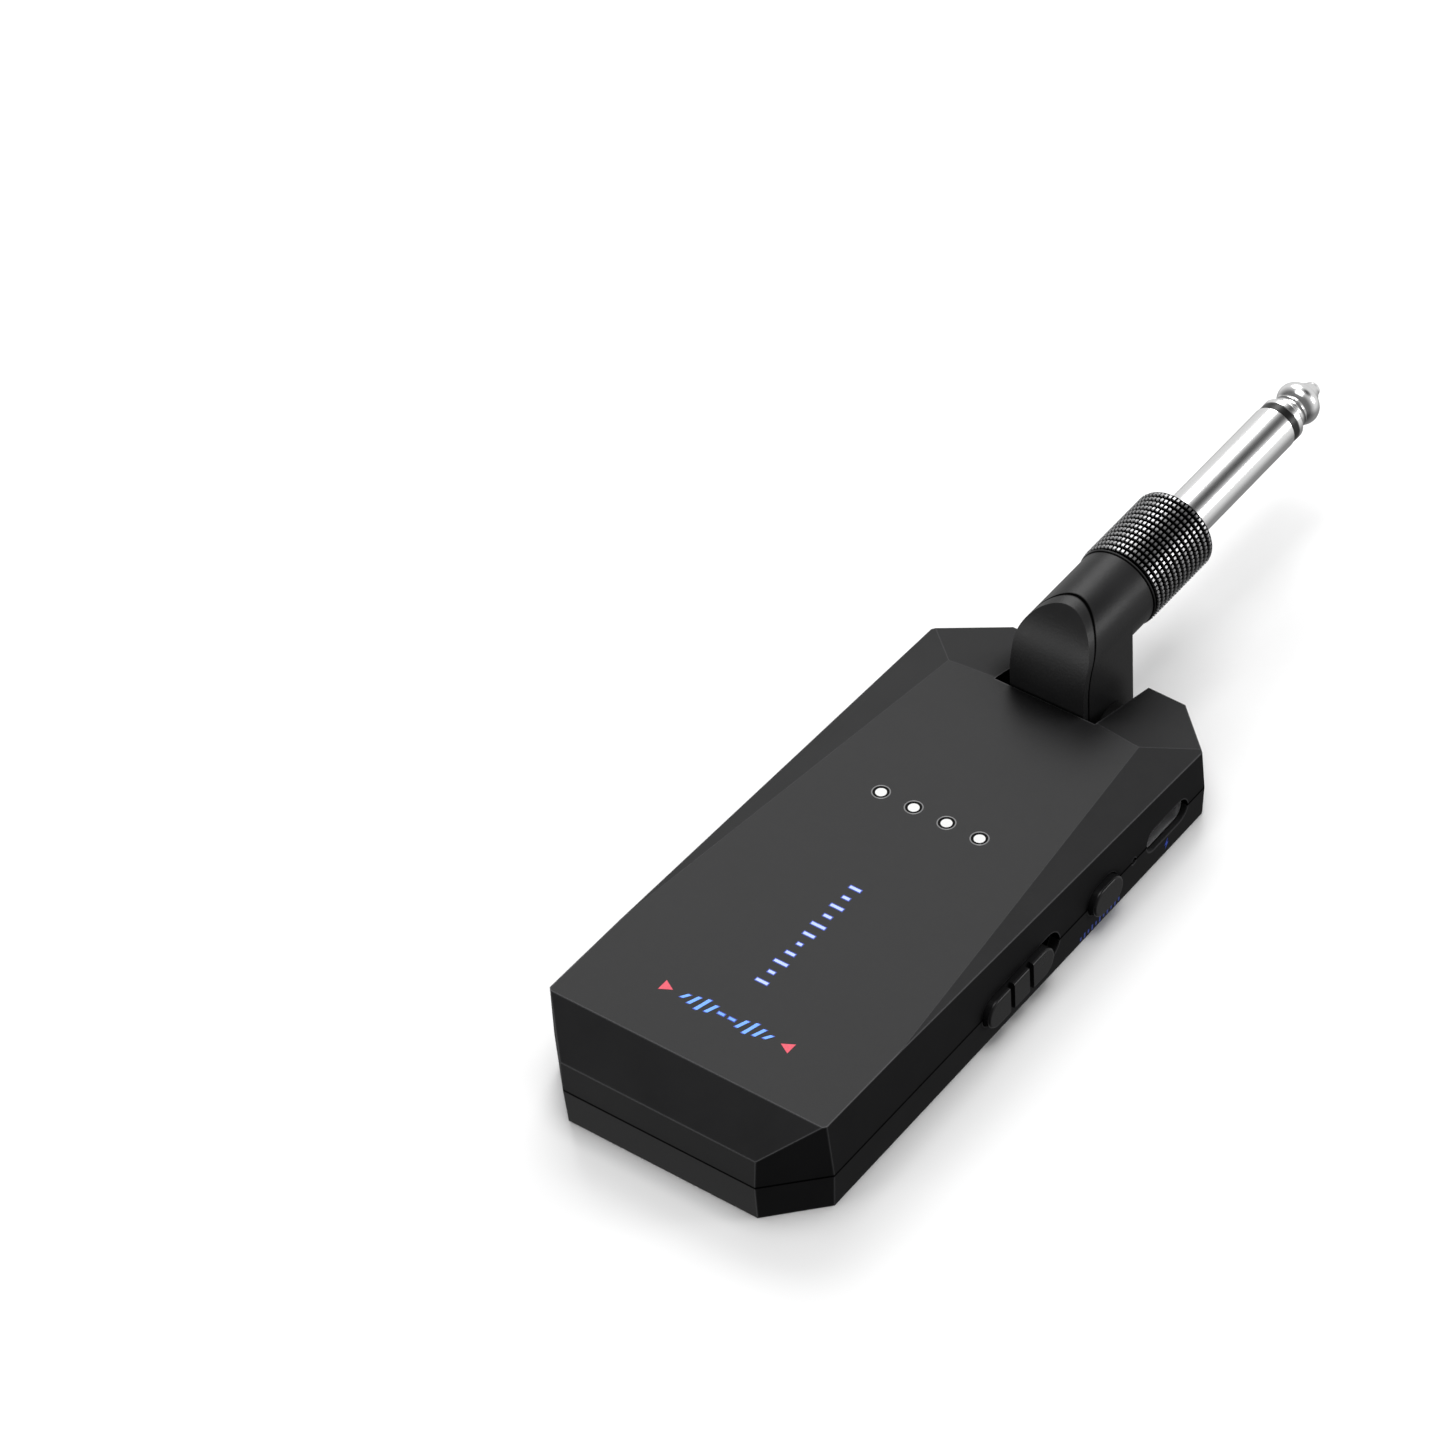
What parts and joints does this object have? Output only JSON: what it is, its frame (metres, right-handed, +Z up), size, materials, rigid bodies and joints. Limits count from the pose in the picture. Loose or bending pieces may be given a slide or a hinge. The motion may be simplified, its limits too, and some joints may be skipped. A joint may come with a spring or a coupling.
{
  "type": "wireless guitar transmitter",
  "caption": "Flat faceted pocket transmitter with a fold-out jack plug on a hinged elbow, knurled collar, sliding power switch, channel button, charging port and status lights.",
  "frame": {"origin": "centre of the housing's flat bottom face", "axes": "+Y along the plug, from the front wall to the hinge end; +Z up out of the top face; +X the side with the switch, the button and the charging port"},
  "size_m": [0.0434, 0.1463, 0.0252],
  "materials": {
    "shell_top": "fine matte texture",
    "shell_bottom": "fine matte texture",
    "screw_steel": "zinc plated",
    "circuit_board": "green solder mask",
    "chip_black": "moulded epoxy",
    "tinned_steel": "tinned",
    "gold_contact": "plated",
    "battery_foil": "laminated foil",
    "foam_pad": "foam",
    "wire_red": "PVC insulation",
    "connector_white": "nylon",
    "led_white": "clear epoxy",
    "light_guide": "clear moulded plastic",
    "port_tongue": "moulded",
    "control_plastic": "satin",
    "washer_nylon": "nylon",
    "elbow_plastic": "satin",
    "elbow_cover": "satin",
    "collar_black": "black plated, knurled",
    "plug_chrome": "polished",
    "insulator_black": "moulded"
  },
  "bodies": {
    "housing": {"top_shell": "shell_top", "bottom_shell": "shell_bottom", "shell_screws": "screw_steel", "main_board": "circuit_board", "board_screws": "screw_steel", "board_chips": "chip_black", "radio_chip": "chip_black", "radio_shield": "tinned_steel", "antenna": "gold_contact", "battery_cell": "battery_foil", "battery_pad": "foam_pad", "battery_leads": "wire_red", "battery_connector": "connector_white", "status_leds": "led_white", "light_guide": "light_guide", "charge_led": "led_white", "charge_lens": "light_guide", "usb_shell": "tinned_steel", "usb_tongue": "port_tongue", "slide_switch_body": "chip_black", "tact_switch_body": "chip_black", "hinge_pin": "screw_steel", "pin_clips": "screw_steel", "friction_washers": "washer_nylon", "pin_wires": "wire_red"},
    "plug_arm": {"plug_elbow": "elbow_plastic", "elbow_cover": "elbow_cover", "knurled_collar": "collar_black", "plug_sleeve": "plug_chrome", "tip_insulator": "insulator_black", "plug_tip": "plug_chrome", "tip_rod": "gold_contact", "plug_lock_nut": "gold_contact", "tip_lug": "gold_contact", "sleeve_lug": "gold_contact", "signal_wires": "wire_red"},
    "slider": {"power_slider": "control_plastic", "slide_switch_lever": "connector_white"},
    "button": {"channel_button": "control_plastic", "tact_plunger": "connector_white"}
  },
  "joints": [
    {"name": "plug_fold", "type": "hinge", "parent": "housing", "child": "plug_arm", "pos_m": [0, 0.0413, 0.0062], "axis": [-1, 0, 0], "range_deg": [0, 180]},
    {"name": "power_slide", "type": "slide", "parent": "housing", "child": "slider", "axis": [0, 1, 0], "range_m": [0, 0.0024]},
    {"name": "channel_press", "type": "slide", "parent": "housing", "child": "button", "axis": [-1, 0, 0], "range_m": [0, 0.0005], "stiffness_N_per_m": 800}
  ]
}
